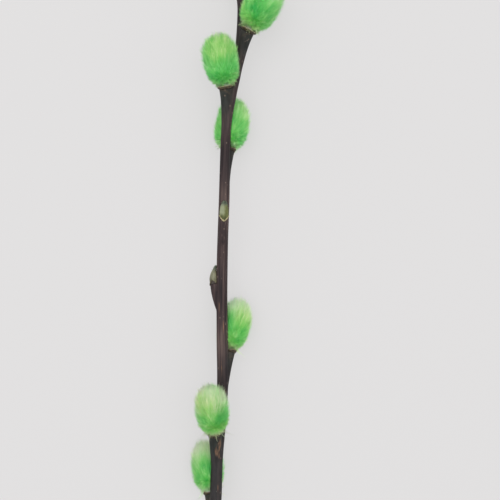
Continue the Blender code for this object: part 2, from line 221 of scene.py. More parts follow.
def mesh_piece(name, points, faces, maps=(), values=()):
    """A mesh object from whole arrays: points, faces as arrays of triangles and of quads, the map for its
    colours as arrays in the order of the faces, and the values that it carries at its points."""
    mesh = bpy.data.meshes.new(name)
    mesh.vertices.add(len(points))
    mesh.vertices.foreach_set("co", np.ascontiguousarray(points, np.float32).ravel())
    sizes = np.concatenate([np.full(len(f), f.shape[1]) for f in faces])
    corners = np.concatenate([f.ravel() for f in faces])
    mesh.loops.add(len(corners))
    mesh.loops.foreach_set("vertex_index", corners.astype(np.int32))
    mesh.polygons.add(len(sizes))
    mesh.polygons.foreach_set("loop_start", np.concatenate([[0], np.cumsum(sizes)[:-1]]).astype(np.int32))
    mesh.update(calc_edges=True)
    if maps:
        layer = mesh.uv_layers.new(name="OFBake")
        places = np.concatenate([m.reshape(-1, 2) for m in maps])
        layer.data.foreach_set("uv", places.astype(np.float32).ravel())
    for value_name, array in values:
        made = mesh.attributes.new(value_name, "FLOAT", "POINT")
        made.data.foreach_set("value", np.ascontiguousarray(array, np.float32).ravel())
    mesh.validate()
    mesh.shade_smooth()
    piece = bpy.data.objects.new(name, mesh)
    bpy.context.scene.collection.objects.link(piece)
    return piece


def fit_piece(piece, material, slot, *nodes):
    """Gives a piece its finish, says where it belongs in the frame, and hides the solids that it stands for.
    """
    piece.data.materials.append(material)
    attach(piece, "root")
    if nodes:
        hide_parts(*nodes)


def closed_grid(rings, ends=None):
    """Points and faces of a closed skin: quads between neighbouring rings, the last side joined to the first,
    and a fan of triangles to a point at either end, which is the ring's middle if it isn't given."""
    rows, sides = rings.shape[:2]
    if ends is None:
        ends = [rings[0].mean(0), rings[-1].mean(0)]
    row, side = np.meshgrid(np.arange(rows - 1) * sides, np.arange(sides), indexing="ij")
    after = (side + 1) % sides
    quads = np.stack([row + after, row + sides + after, row + sides + side, row + side], -1)
    last, side, after = (rows - 1) * sides, side[0], after[0]
    start = np.stack([np.full(sides, rows * sides), after, side], -1)
    end = np.stack([last + side, last + after, np.full(sides, rows * sides + 1)], -1)
    return np.concatenate([rings.reshape(-1, 3), ends]), [quads.reshape(-1, 4), start, end]


def with_ends(values):
    """One value for each point of a closed grid: the rings' own, and the first and last for its ends."""
    return np.concatenate([values.ravel(), [values[0, 0], values[-1, 0]]])


STEM_RINGS, STEM_SIDES, CAP_RINGS = 1000, 60, 9
STUB_RISE = 1.1 * MM
turns = all_round(STEM_SIDES)
along, turn = np.meshgrid(rings_along(CUT_END, STEM_TIP, STEM_RINGS), turns, indexing="ij")
# The first rings lean over, so that the foot ends in a slanted cut.
slant = bark_reach(np.full(STEM_SIDES, CUT_END), turns) * np.sin(turns) * math.tan(CUT_SLANT)
along = along + slant * (1 - smooth_step(along, CUT_END, CUT_END + SLANT_FADES_IN))
furrow = furrows(along, turn)
skin = stem_middle(along) + (bark_reach(along, turn) + furrow)[..., None] * out_of_stem(along, turn)

# The cut face and the dried stub close the skin with rings that shrink to a middle point.
shares = np.linspace(1, 0, CAP_RINGS + 1)[1:-1]
foot_middle = skin[0].mean(0)
foot_cap = foot_middle + shares[::-1, None, None] * (skin[0] - foot_middle)
stub_middle = skin[-1].mean(0)
stub_rise = stem_axes(STEM_TIP)[0] * STUB_RISE
stub_cap = stub_middle + shares[:, None, None] * (skin[-1] - stub_middle)
stub_cap += np.sqrt(1 - shares**2)[:, None, None] * stub_rise
rings = np.concatenate([foot_cap, skin, stub_cap])
points, faces = closed_grid(rings, [foot_middle, stub_middle + stub_rise])
# The stem's rings turn the other way from a collar's, so its faces are turned over.
quads, fan_foot, fan_stub = (part[:, ::-1] for part in faces)

# The bark is laid out on its map in strips side by side, with the fans small below them.
STRIPS, MARGIN, FAN_WIDTH = 6, 0.03, 0.02
quad_row, quad_side = np.divmod(np.arange(len(quads)), STEM_SIDES)
rows_in_strip = math.ceil((len(rings) - 1) / STRIPS)
strip, row_in_strip = np.divmod(quad_row, rows_in_strip)
corner_side = quad_side[:, None] + np.array([0, 0, 1, 1])
corner_row = row_in_strip[:, None] + np.array([0, 1, 1, 0])
strip_u = (strip[:, None] + MARGIN + (1 - 2 * MARGIN) * corner_side / STEM_SIDES) / STRIPS
quad_map = np.stack([strip_u, MARGIN + (1 - 2 * MARGIN) * corner_row / rows_in_strip], -1)
fan_map = np.empty((STEM_SIDES, 3, 2))
fan_map[:, 0, 0] = 0.5 / STRIPS + FAN_WIDTH * (np.arange(STEM_SIDES) / STEM_SIDES - 0.5)
fan_map[:, 0, 1] = FAN_WIDTH / 4
fan_map[:, 1] = fan_map[:, 0] + (FAN_WIDTH / STEM_SIDES, 0)
fan_map[:, 2] = (0.5 / STRIPS, FAN_WIDTH / 2)


def on_rings(foot, skin_values, stub):
    """One value for each of the stem's points, from what the cut face's rings, the skin and the stub have."""
    parts = (foot, foot_cap), (skin_values, skin), (stub, stub_cap)
    return with_ends(np.concatenate([np.broadcast_to(value, part.shape[:2]) for value, part in parts]))


# How near a place is to a node, where the bark is greyer, where the fur's dye stained it, and where a leaf
# left its scar. Distances above and below a seat are in its own radius.
near_node, stained, scar, scuffed = np.zeros((4, *along.shape))
for seat, seat_turn, _, radius, _ in CATKIN_SPURS:
    facing = np.cos(turn - seat_turn)
    above = (along - seat) / radius
    near_node = np.maximum(near_node, np.exp(-(((above + 1.8) / 3.4) ** 2)) * (0.6 + 0.4 * facing))
    stained = np.maximum(stained, np.exp(-(((above - 1.0) / 3.5) ** 2)) * smooth_step(facing, -0.3, 0.9))
    # The scar is a narrow crescent just below the rim of the seat.
    below = above + 0.32 + 1.0 * (1 - facing)
    scar = np.maximum(scar, np.exp(-((below / 0.13) ** 2)) * smooth_step(facing, 0.45, 0.8))
# The bark is darker and greyer towards the foot, and the thin upper end is greyer than the middle.
greyer = 0.85 * (1 - smooth_step(along, 10 * MM, 50 * MM)) + 0.6 * smooth_step(along, 165 * MM, 200 * MM)
near_node = np.maximum(near_node, greyer)
# Scuffs where the bark is rubbed off: place along Y in mm, angle, length in mm and width in radians.
SCUFFS = [
    (25.2, 78, 4.4, 0.36), (22.4, 94, 3.4, 0.26), (20.4, 72, 2.6, 0.2), (47, 60, 5.5, 0.12),
    (60, 100, 7, 0.10), (6, 70, 3.4, 0.12), (-12, 110, 3, 0.2), (78, 75, 6, 0.09), (222, 100, 3.4, 0.14),
    (250, 50, 4, 0.12), (87, 118, 4.5, 0.1), (-30, 60, 4, 0.15), (275, 120, 3, 0.15), (310, 60, 4, 0.15),
]
for place, angle, length, width in SCUFFS:
    off_middle = (np.angle(np.exp(1j * (turn - math.radians(angle)))) / width) ** 2
    scuffed = np.maximum(scuffed, np.exp(-2 * ((along / MM - place) / length) ** 2 - off_middle))
stem = mesh_piece(
    "stem_bark", points, [quads, fan_foot, fan_stub], [quad_map, fan_map, fan_map],
    [
        ("near_node", on_rings(0, near_node, 0.8)),
        ("furrow", on_rings(0.5, 0.5 + furrow / FURROW_RANGE, 0.5)),
        ("stained", on_rings(0, stained, 0)),
        ("scar", on_rings(0, scar, 0)),
        ("scuffed", on_rings(0, scuffed, 0)),
        ("wood_face", on_rings(1, 0, 0)),
        ("from_pith", on_rings(shares[::-1, None], 1, 1)),
    ],
)


class Painter:
    """Adds shader nodes to one tree and wires them."""

    def __init__(self, tree):
        self.nodes, self.links = tree.nodes, tree.links

    def node(self, kind, settings=(), **inputs):
        """A new node with its settings. An input, by its name or as i and its number, is set or linked."""
        made = self.nodes.new(kind)
        for key, value in dict(settings).items():
            setattr(made, key, value)
        for key, value in inputs.items():
            socket = made.inputs[int(key[1:])] if key[1:].isdigit() else made.inputs[key]
            if isinstance(value, bpy.types.NodeSocket):
                self.links.new(value, socket)
            else:
                socket.default_value = value
        return made

    def maths(self, operation, first, second=0.0, clamp=True):
        """What an operation makes of two values, kept from 0 to 1 where clamp is set."""
        settings = {"operation": operation, "use_clamp": clamp}
        return self.node("ShaderNodeMath", settings, i0=first, i1=second).outputs[0]

    def times(self, first, second):
        """The product of two values, at most 1."""
        return self.maths("MULTIPLY", first, second)

    def plus(self, first, second):
        """The sum of two values, at most 1."""
        return self.maths("ADD", first, second)

    def ramp(self, value, *stops):
        """A colour read off a line of stops, each a position and a colour or, for a value, a grey."""
        made = self.node("ShaderNodeValToRGB", Fac=value)
        elements = made.color_ramp.elements
        while len(elements) < len(stops):
            elements.new(0.5)
        for element, (position, colour) in zip(elements, stops):
            element.position = position
            element.color = (*colour, 1) if isinstance(colour, tuple) else (colour, colour, colour, 1)
        return made.outputs["Color"]

    def blend(self, share, first, second, kind="MIX"):
        """Two colours mixed by a share."""
        settings = {"data_type": "RGBA", "blend_type": kind}
        first, second = ((*c, 1) if isinstance(c, tuple) else c for c in (first, second))
        return self.node("ShaderNodeMix", settings, i0=share, i6=first, i7=second).outputs[2]

    def value(self, name):
        """A value that the mesh carries at its points."""
        return self.node("ShaderNodeAttribute", {"attribute_name": name}).outputs["Fac"]

    def bump(self, shader, height, strength, depth):
        """Relief of the surface: the shading follows a height, as deep as depth where it is 1."""
        made = self.node("ShaderNodeBump", Strength=strength, Distance=depth, Height=height)
        self.links.new(made.outputs["Normal"], shader.inputs["Normal"])

    def grain(self, scale, stretch=(1, 1, 1), detail=3.0, roughness=0.5):
        """Soft grain over the piece, pulled out along an axis by a stretch under 1 there."""
        place = self.node("ShaderNodeTexCoord").outputs["Object"]
        made = self.node(
            "ShaderNodeGroup", {"node_tree": plant_grain},
            Place=place, Stretch=stretch, Scale=scale, Detail=detail, Roughness=roughness)
        return made.outputs["Grain"]


# The grain of bark, bud scale and leaf bud is one shared effect, with a scale and stretch for each.
plant_grain = bpy.data.node_groups.new("plant_grain", "ShaderNodeTree")
for name, way, kind in (
    ("Place", "INPUT", "Vector"), ("Stretch", "INPUT", "Vector"), ("Scale", "INPUT", "Float"),
    ("Detail", "INPUT", "Float"), ("Roughness", "INPUT", "Float"), ("Grain", "OUTPUT", "Float"),
):
    plant_grain.interface.new_socket(name, in_out=way, socket_type="NodeSocket" + kind)
paint = Painter(plant_grain)
inlet = paint.node("NodeGroupInput").outputs
pulled = paint.node("ShaderNodeMapping", Vector=inlet["Place"], Scale=inlet["Stretch"]).outputs[0]
noise = paint.node(
    "ShaderNodeTexNoise",
    Vector=pulled, Scale=inlet["Scale"], Detail=inlet["Detail"], Roughness=inlet["Roughness"])
paint.node("NodeGroupOutput", Grain=noise.outputs["Fac"])


def new_finish(name, roughness, specular, more=()):
    """A material, what paints it and its Principled shader, on which more can be set by name."""
    made = bpy.data.materials.new(name)
    made.use_nodes = True
    shader = made.node_tree.nodes["Principled BSDF"]
    for socket, value in {"Roughness": roughness, "Specular IOR Level": specular, **dict(more)}.items():
        shader.inputs[socket].default_value = value
    return made, Painter(made.node_tree), shader


bark, paint, shader = new_finish("bark", 0.55, 0.12)
streaks = paint.grain(900, (1, 0.045, 1), 4, 0.62)
fine = paint.grain(2600, (1, 0.12, 1), 3, 0.7)
mottle = paint.grain(520, (1, 0.4, 1))
body = paint.ramp(
    paint.grain(38, (1, 0.35, 1)),
    (0.3, (0.029, 0.021, 0.022)), (0.5, (0.046, 0.030, 0.030)), (0.7, (0.066, 0.039, 0.036)))
grey = paint.ramp(mottle, (0.3, (0.010, 0.011, 0.011)), (0.7, (0.027, 0.027, 0.028)))
grey_share = paint.value("near_node")
colour = paint.blend(grey_share, body, grey)
# Streaks along it, light ones on the ridges of the brown bark and dark ones in the furrows.
streaks_with_relief = paint.plus(paint.times(paint.value("furrow"), 0.5), paint.times(streaks, 0.5))
# Painted light on the ridges of the relief, mixed with the bark's own light streaks.
streak_and_ridge_light = paint.ramp(streaks_with_relief, (0.50, 0.0), (0.62, 0.8))
streak_and_ridge_light = paint.times(streak_and_ridge_light, paint.maths("SUBTRACT", 1.0, grey_share))
colour = paint.blend(streak_and_ridge_light, colour, (0.112, 0.078, 0.068))
# Painted shade in the furrows of the relief, mixed with the bark's own dark streaks.
streak_and_furrow_shade = paint.ramp(streaks_with_relief, (0.36, 0.85), (0.48, 0.0))
colour = paint.blend(streak_and_furrow_shade, colour, (0.012, 0.009, 0.011))
# Pores: small pale dots, longer along the stem than round it.
place = paint.node("ShaderNodeTexCoord").outputs["Object"]
pulled = paint.node("ShaderNodeMapping", Vector=place, Scale=(1, 0.55, 1)).outputs[0]
pores = paint.node("ShaderNodeTexVoronoi", Vector=pulled, Scale=620).outputs["Distance"]
few = paint.maths("GREATER_THAN", paint.grain(300, (1, 0.5, 1), 1), 0.52)
pore = paint.times(paint.ramp(pores, (0.10, 1.0), (0.17, 0.0)), few)
colour = paint.blend(paint.times(pore, 0.6), colour, (0.26, 0.19, 0.15))
stain = paint.times(paint.value("stained"), paint.times(mottle, 0.16))
colour = paint.blend(stain, colour, (0.030, 0.085, 0.028))
# A scuff's edge is torn along the grain.
torn = paint.ramp(paint.grain(800, (1, 0.14, 1), 3, 0.6), (0.38, 0.3), (0.62, 1.0))
scuff = paint.ramp(paint.times(paint.value("scuffed"), torn), (0.28, 0.0), (0.62, 0.8))
bast = paint.ramp(fine, (0.3, (0.080, 0.050, 0.034)), (0.7, (0.22, 0.125, 0.078)))
colour = paint.blend(scuff, colour, bast)
colour = paint.blend(paint.times(paint.value("scar"), 0.2), colour, (0.12, 0.080, 0.045))
# On the cut face: soft brown pith, pale wood with one darker year ring, and green bast under the bark.
wood = paint.ramp(
    paint.value("from_pith"),
    (0.12, (0.22, 0.14, 0.07)), (0.2, (0.50, 0.42, 0.26)), (0.5, (0.55, 0.47, 0.31)),
    (0.56, (0.36, 0.28, 0.16)), (0.62, (0.52, 0.45, 0.28)), (0.82, (0.48, 0.44, 0.24)),
    (0.88, (0.20, 0.26, 0.09)), (0.95, (0.06, 0.05, 0.03)))
wood_grain = paint.ramp(paint.grain(1500), (0.3, (0.30, 0.22, 0.12)), (0.7, (0.54, 0.46, 0.30)))
wood = paint.blend(0.35, wood, wood_grain)
colour = paint.blend(paint.value("wood_face"), colour, wood)
paint.links.new(colour, shader.inputs["Base Color"])
rough = paint.plus(paint.times(streaks, 0.25), paint.times(scuff, 0.2))
paint.links.new(paint.plus(rough, 0.42), shader.inputs["Roughness"])
relief = paint.plus(paint.times(streaks, 0.5), paint.times(fine, 0.25))
relief = paint.plus(relief, paint.times(pore, 0.25))
paint.bump(shader, relief, 0.7, 0.15 * MM)
fit_piece(stem, bark, "bark", "stem")


# The scale collars. Each catkin burst out of one cap-like bud scale, and what is left of the scale sits round
# the catkin's foot: a thin, dry, yellow-brown saucer with a torn lip, stuck to the seat by its underside.
COLLAR_THICKNESS, COLLAR_LIP, LEAST_LIP, GAP = 0.8 * MM, 0.75 * MM, 0.1 * MM, 0.3 * MM
COLLAR_LIFT, COLLAR_OFF_BARK, COLLAR_SIDES = 0.06 * MM, 0.04 * MM, 56
# How far out, as a share of the seat's radius, how high, and how much of the lip's height is added.
COLLAR_PROFILE = np.array([
    (0.02, 0, 0), (0.55, 0, 0), (0.93, 0.02, 0), (1.05, 0.3, 0), (1.12, 0.7, 0), (1.16, 1, 0.35),
    (1.2, 1, 0.8), (1.19, 1, 1), (1.15, 1, 0.97), (1.1, 1, 0.7), (1.04, 1, 0.3), (0.96, 1, 0),
    (0.5, 0.95, 0), (0.02, 0.95, 0),
])


def seat_axes(along, angle, lean, radius):
    """A seat's middle, and the ways out from the stem, round it and on, as the catkin grows."""
    forward = stem_axes(along)[0]
    out = out_of_stem(along, angle)
    grows = math.cos(lean) * forward + math.sin(lean) * out
    across = unit(out - (out @ grows) * grows)
    middle = stem_middle(along) + (stem_radius(along) + SEAT_OVERHANG * radius) * out
    return middle, across, np.cross(grows, across), grows


def off_the_bark(places, gap):
    """Places moved straight out from the stem's axis where they are nearer to its skin than the gap."""
    along = places[..., 1] - MIDDLE[1]
    _, right, up = stem_axes(along)
    away = places - stem_middle(along)
    rightward, upward = (away * right).sum(-1), (away * up).sum(-1)
    turn, distance = np.arctan2(upward, rightward), np.hypot(rightward, upward)
    lacking = np.where(along < STEM_TIP, bark_reach(along, turn) + gap - distance, 0)
    return places + np.maximum(lacking, 0)[..., None] * out_of_stem(along, turn)


def collar_points(spur, draw):
    """A saucer turned about the way the catkin grows: up the outside, over a thin lip and down the inside.
    The lip's height and reach wander in a few waves round it, and it is lowest where the stem passes.
    The places, and how much of the lip's height each has."""
    middle, across, sideways, grows = seat_axes(*spur[:4])
    turns = all_round(COLLAR_SIDES)
    torn = sum(
        draw.uniform(0.4, 1) * np.sin(waves * turns + draw.uniform(0, 6.3)) / waves**0.5
        for waves in (2, 3, 5, 8, 13)
    )
    open_side = smooth_step(np.cos(turns), -0.7, -0.1)
    lip = LEAST_LIP + (COLLAR_LIP * (1 + 0.22 * torn) - LEAST_LIP) * open_side
    share, high, raised = (COLLAR_PROFILE[:, [column]] for column in range(3))
    out = share * spur[3] * np.where(share > 1.1, 1 + 0.035 * torn, 1)
    rise = COLLAR_LIFT + high * COLLAR_THICKNESS + raised * lip
    places = middle + out[..., None] * between(turns, across, sideways) + rise[..., None] * grows
    return places, raised * np.ones(COLLAR_SIDES)


paper, paint, shader = new_finish("bud_scale", 0.55, 0.3)
grain = paint.grain(1400, (1, 0.5, 1), 4)
body = paint.ramp(
    grain, (0.3, (0.014, 0.010, 0.008)), (0.5, (0.036, 0.024, 0.012)), (0.75, (0.09, 0.066, 0.028)))
rim = paint.ramp(grain, (0.3, (0.19, 0.16, 0.08)), (0.7, (0.44, 0.39, 0.22)))
on_rim = paint.ramp(paint.value("lip"), (0.35, 0.0), (0.85, 1.0))
paint.links.new(paint.blend(on_rim, body, rim), shader.inputs["Base Color"])
paint.bump(shader, grain, 0.6, 0.1 * MM)
draw = np.random.default_rng(5)
for n, spur in enumerate(CATKIN_SPURS, 1):
    places, lip = collar_points(spur, draw)
    points, faces = closed_grid(off_the_bark(places, COLLAR_OFF_BARK))
    collar = mesh_piece(f"bud_scale_{n:02d}", points, faces, values=[("lip", with_ends(lip))])
    fit_piece(collar, paper, "scale", f"scale_collar_{n:02d}")


# The catkins. Each is a spike of tiny flowers packed round a core, and every flower wears a tuft of silky
# hairs, which hide it. The hairs took up green dye: most at the root, least at their pale tips.
# The fur gives way where the stem passes, and lies flat where the branch rests on the surface below.
WIDEST_LOW, FOOT_BLUNT = 0.95, 4.3
CORE_SHARE, CORE_RISE = 0.68, (0.07, 0.85)
CORE_ROWS, CORE_SIDES, CORE_OFF_BARK, CORE_LOWEST = 30, 40, 0.15 * MM, 0.25 * MM
LARGEST = max(length * width for _, _, _, length, width, _, _ in CATKINS) * MM * MM
FLOWERS_FOR_AREA, FLOWER_RADIUS = 0.42 / MM / MM, 1.3 * MM
SKIRT_SHARE, SKIRT_DROP, SKIRT_HEIGHT = 0.56, 0.5 * MM, 0.08
LUMPS, LUMP_SIZE = 0.35 * MM, 4.5
# The patch of deepest dye: how much it looks up rather than to the stem, how high it can be, as shares of
# the length, and how wide it is, as a share of the width.
PATCH_UP, PATCH_HEIGHTS, PATCH_WIDTH = 1.6, (0.38, 0.52), 0.33
# Hairs are rooted a little inside the core, and those that share a tip have their roots apart. They keep off
# the bark, but one whose end would be pushed further than MOST_PUSHED is left out. Low down they lie flat.
ROOT_DEPTH, STRANDS_APART = 0.15 * MM, 0.3 * MM
HAIR_OFF_BARK, MOST_PUSHED = 0.03 * MM, 0.45 * MM
FLAT_BELOW, FLAT_SHARE, LOWEST = 0.12 * MM, 0.08, 0.012 * MM
SWEEP, MOST_STRAY, TUFT_SHADING, ROUND_SHADING = 0.17, 1.4, 0.45, 0.65

# Kinds of hair on the largest catkin: how many, how far they reach, half their thickness in mm, how far they
# stray, how much a flower draws them in, how bent they are, how many share a tip, at which heights they are
# and how much paler than the rest.
COAT = (16500, (0.70, 1.03), 0.085, 0.15, 0.24, 0.0, 1, (0.0, 1.0), 0.0)
GUARDS = (1720, (0.96, 1.14), 0.048, 0.15, 0.0, 0.25, 4, (0.0, 1.0), 0.26)
SKIRT = (800, (0.85, 1.12), 0.08, 0.12, 0.0, 0.0, 1, (0.0, 0.07), 0.05)
WISPS = (110, (1.3, 2.1), 0.055, 0.35, 0.0, 0.7, 4, (0.0, 0.06), 0.6)


def egg_radius(height, form):
    """A catkin's radius at a share of its height: a blunt ellipse, widest a little below its middle."""
    from_middle = 2 * np.clip(height, 0, 1) ** WIDEST_LOW - 1
    blunt = np.where(from_middle < 0, FOOT_BLUNT, form[2])
    return form[1] / 2 * np.sqrt(np.maximum(1 - np.abs(from_middle) ** blunt, 0))


def egg_place(height, turn, form, axes, share=1.0, rise=(0.0, 1.0)):
    """Places on a catkin's outline, and the way straight out of it there. The outline is turned about the way
    the catkin grows. Its radius is drawn in by a share, and its foot and end are moved along it by rise."""
    foot, across, sideways, grows = axes
    low, high = np.maximum(height - 0.01, 0), np.minimum(height + 0.01, 1)
    wider = share * (egg_radius(high, form) - egg_radius(low, form))
    higher = (high - low) * (rise[1] - rise[0]) * form[0]
    out = between(turn, across, sideways)
    up = (rise[0] + (rise[1] - rise[0]) * height) * form[0]
    place = foot + up[..., None] * grows + (share * egg_radius(height, form))[..., None] * out
    return place, unit(higher[..., None] * out - wider[..., None] * grows)


def even_heights(count, form, draw, heights=(0.0, 1.0)):
    """Heights on the egg at which every patch of its skin gets as many as any other of its size."""
    fine = np.linspace(heights[0] + 0.001, heights[1] - 0.001, 800)
    radius = egg_radius(fine, form)
    area = radius * np.hypot(np.gradient(radius, fine), form[0])
    total = np.cumsum(area) / area.sum()
    return np.interp((np.arange(count) + draw.uniform(0, 1, count)) / count, total, fine)


def cloudy(places, seed, size):
    """A soft value from about -1 to 1 that wanders over space: a sum of waves in many directions."""
    draw = np.random.default_rng(seed)
    total = 0
    for _ in range(14):
        way = unit(draw.normal(size=3)) * draw.uniform(0.6, 1.8) / (size * MM)
        total = total + np.sin(places @ way + draw.uniform(0, 6.3))
    return total / 3.6


def hairs(roots, spans, thickness, bends, shades):
    """Closed three-sided spikes. Each has a foot triangle, one waist triangle where it is bent, and a point.
    Its middle is root + span * t + bend * t squared, and it thins to nothing at the point.
    On the map, u is the hair's shade, and v runs from its root to its point. Last comes the way straight out
    of the hair at each of its points."""
    count = len(roots)
    side = unit(np.cross(spans, [0.31, 0.52, 0.79]) + 1e-9)
    other = unit(np.cross(spans, side))
    ring = between(all_round(3), side[:, None], other[:, None])
    stations = [0.0, 0.55] if bends.any() else [0.0]
    rows = [
        (roots + spans * t + bends * t * t)[:, None] + ring * (thickness * (1 - 0.6 * t))[:, None, None]
        for t in stations
    ]
    points = np.concatenate([*rows, (roots + spans + bends)[:, None]], 1)
    out_of_hair = np.concatenate([*[ring] * len(stations), np.zeros((count, 1, 3))], 1)
    top = points.shape[1] - 4
    local = [(0, 2, 1)]
    for k in range(3):
        after = (k + 1) % 3
        if top:
            local += [(k, after, after + 3), (k, after + 3, k + 3)]
        local.append((top + k, top + after, top + 3))
    local = np.array(local)
    faces = (np.arange(count)[:, None, None] * points.shape[1] + local[None]).reshape(-1, 3)
    heights = np.append(np.repeat(stations, 3), 1.0)
    sway = np.array([-0.002, 0, 0.002] * len(stations) + [0])
    up = 0.04 + 0.94 * np.broadcast_to(heights[local], (count, *local.shape))
    maps = np.stack([shades[:, None, None] + sway[local], up], -1)
    # The foot triangle gets some width of its own on the map.
    maps[:, 0, :, 1] = (0.01, 0.01, 0.03)
    return points, faces, maps.reshape(-1, 3, 2), out_of_hair


def fur_of(catkin, n):
    """One catkin: its core, a dense coat of short hairs in tufts, longer bent hairs that make its soft rim, a
    skirt that hides its foot, and a few pale wisps that hang out of the skirt."""
    along, angle, lean, length, width, tip_blunt, paleness = catkin
    length, width = length * MM, width * MM
    form = (length, width, tip_blunt)
    draw = np.random.default_rng(100 + n)
    middle, across, sideways, grows = seat_axes(
        along * MM, math.radians(angle), math.radians(lean), SEAT_SHARE * width / 2)
    axes = (middle + grows * (2 * GAP + COLLAR_THICKNESS), across, sideways, grows)
    size_share = length * width / LARGEST

    # The flowers stand in a spiral, and each pulls the hairs round it into a tuft.
    flower_count = int(FLOWERS_FOR_AREA * length * width)
    flower_turn = np.arange(flower_count) * math.pi * (3 - math.sqrt(5))
    flowers, _ = egg_place(even_heights(flower_count, form, draw), flower_turn, form, axes)
    flower_shade = draw.normal(0, 1, flower_count)
    # The dye took most in a patch near the middle, on the side that faces up and to the stem.
    patch_way = np.array([0.0, 0.0, PATCH_UP]) - across
    patch_turn = math.atan2(patch_way @ sideways, patch_way @ across) + draw.normal(0, 0.15)
    patch, _ = egg_place(np.array(draw.uniform(*PATCH_HEIGHTS)), np.array(patch_turn), form, axes)

    def shade_of(places, height, more=0.0):
        """How pale the dye is, lifted by painted light at the foot, 0.01 to 0.99, and which of three tints it
        has.
        """
        to_patch = np.exp(-((places - patch) ** 2).sum(-1) / (PATCH_WIDTH * width) ** 2)
        pale = 0.30 + 0.14 * paleness + (0.08 + 0.44 * paleness) * smooth_step(height, 0.42, 0.95)
        # Paler at the foot: partly its pale fringe, partly painted light against the fur's own shade there.
        pale = pale + 0.10 * (1 - smooth_step(height, 0.0, 0.22)) - (0.12 + 0.2 * paleness) * to_patch + more
        pale = pale + 0.08 * cloudy(places, 300 + n, 3.2) + 0.06 * cloudy(places, 500 + n, 1.1)
        warm = cloudy(places, 700 + n, 5.0) + 0.4 * paleness * smooth_step(height, 0.3, 0.8) - 0.9 * to_patch
        warm = warm + draw.normal(0, 0.3, len(places))
        return np.clip(pale, 0.01, 0.99), (warm > -0.45).astype(int) + (warm > 0.6)

    def coat(count, reach, thick, stray, tuft, bent, strands, heights, paler):
        """One kind of hair. The tips are spread evenly over the outline, raised by lumps and drawn to the
        nearest flower. From its root on the core each hair goes to its tip, times its reach, and strays."""
        clumps = int(count * size_share) // strands
        member = np.repeat(np.arange(clumps), strands)
        tip_h = even_heights(clumps, form, draw, heights)[member]
        turn = draw.uniform(0, 2 * math.pi, clumps)[member]
        count = len(member)
        tips, out = egg_place(tip_h, turn, form, axes)
        tips = tips + (LUMPS * cloudy(tips, 900 + n, LUMP_SIZE))[:, None] * out
        # Round the foot the hairs make a skirt, which hangs out over the collar.
        skirt = 1 - smooth_step(tip_h, 0.0, SKIRT_HEIGHT)
        round_out = between(turn, across, sideways)
        wider = skirt * np.maximum(SKIRT_SHARE * width / 2 - egg_radius(tip_h, form), 0)
        tips = tips + wider[:, None] * round_out - (skirt * SKIRT_DROP)[:, None] * grows
        # They slant forward, less so at the tip, where they have to cover the end of the core.
        sweep = SWEEP * smooth_step(tip_h, 0.04, 0.5) * (1 - 0.7 * smooth_step(tip_h, 0.78, 1.0))
        roots, _ = egg_place(np.clip(tip_h - sweep, 0, 1), turn, form, axes, CORE_SHARE, CORE_RISE)
        nearest = ((tips[:, None] - flowers) ** 2).sum(-1).argmin(1)
        from_flower = tips - flowers[nearest]
        tips = tips - from_flower * (tuft * (1 - skirt))[:, None]
        spans = tips - roots
        size = np.linalg.norm(spans, axis=1)
        reaches = draw.uniform(*reach, clumps)[member] * (1 + 0.05 * flower_shade[nearest])
        strays = stray * np.clip(draw.normal(0, 1, (clumps, 3)), -MOST_STRAY, MOST_STRAY)[member]
        spans = spans * reaches[:, None] + strays * size[:, None]
        if strands > 1:
            apart = draw.normal(0, STRANDS_APART, (count, 3))
            roots, spans = roots + apart, spans - 0.8 * apart
        curl = 0.6 * grows - 0.3 * out + draw.normal(0, 0.3, (clumps, 3))[member]
        bends = curl * (size * bent * draw.uniform(0.2, 1.0, clumps)[member])[:, None]
        spans = spans - 0.7 * bends
        roots = roots - out * ROOT_DEPTH
        ends = roots + spans + bends
        # The skirt is paler: partly its pale fringe, partly painted light against the shade round the foot.
        pale, tint = shade_of(ends, tip_h, 0.15 * skirt + paler)
        pale = pale + 0.05 * flower_shade[nearest] + draw.normal(0, 0.045, count)
        shades = (tint + np.clip(pale, 0.02, 0.98)) / 3
        stays = np.linalg.norm(off_the_bark(ends, 0) - ends, axis=1) < MOST_PUSHED
        thickness = thick * MM * draw.uniform(0.75, 1.2, count)
        puffed = unit(out + TUFT_SHADING * from_flower / FLOWER_RADIUS)
        points, faces, maps, out_of_hair = hairs(
            *(values[stays] for values in (roots, spans, thickness, bends, shades)))
        normals = unit(puffed[stays][:, None] + ROUND_SHADING * out_of_hair).reshape(-1, 3)
        points = off_the_bark(points.reshape(-1, 3), HAIR_OFF_BARK)
        low = points[:, 2] < FLAT_BELOW
        points[low, 2] = FLAT_BELOW + FLAT_SHARE * (points[low, 2] - FLAT_BELOW)
        points[:, 2] = np.maximum(points[:, 2], LOWEST)
        return points, faces, maps, normals

    heights = np.linspace(0.004, 0.996, CORE_ROWS)
    core_h, core_t = np.meshgrid(heights, all_round(CORE_SIDES), indexing="ij")
    core, core_out = egg_place(core_h, core_t, form, axes, CORE_SHARE, CORE_RISE)
    core = off_the_bark(core, CORE_OFF_BARK)
    core[..., 2] = np.maximum(core[..., 2], CORE_LOWEST)
    core_points, (quads, start, end) = closed_grid(core)
    core_faces = np.concatenate([quads[:, [0, 1, 2]], quads[:, [0, 2, 3]], start, end])
    core_shade = (1 + shade_of(core_points, with_ends(core_h))[0]) / 3
    core_map = np.empty((len(core_faces), 3, 2))
    core_map[..., 0] = core_shade[core_faces] + np.array([-0.002, 0, 0.002])
    core_map[..., 1] = np.array([0.35, 0.38, 0.35])
    core_normals = np.concatenate([core_out.reshape(-1, 3), [-grows, grows]])
    sets = [(core_points, core_faces, core_map, core_normals)]
    sets += [coat(*kind) for kind in (COAT, GUARDS, SKIRT)]
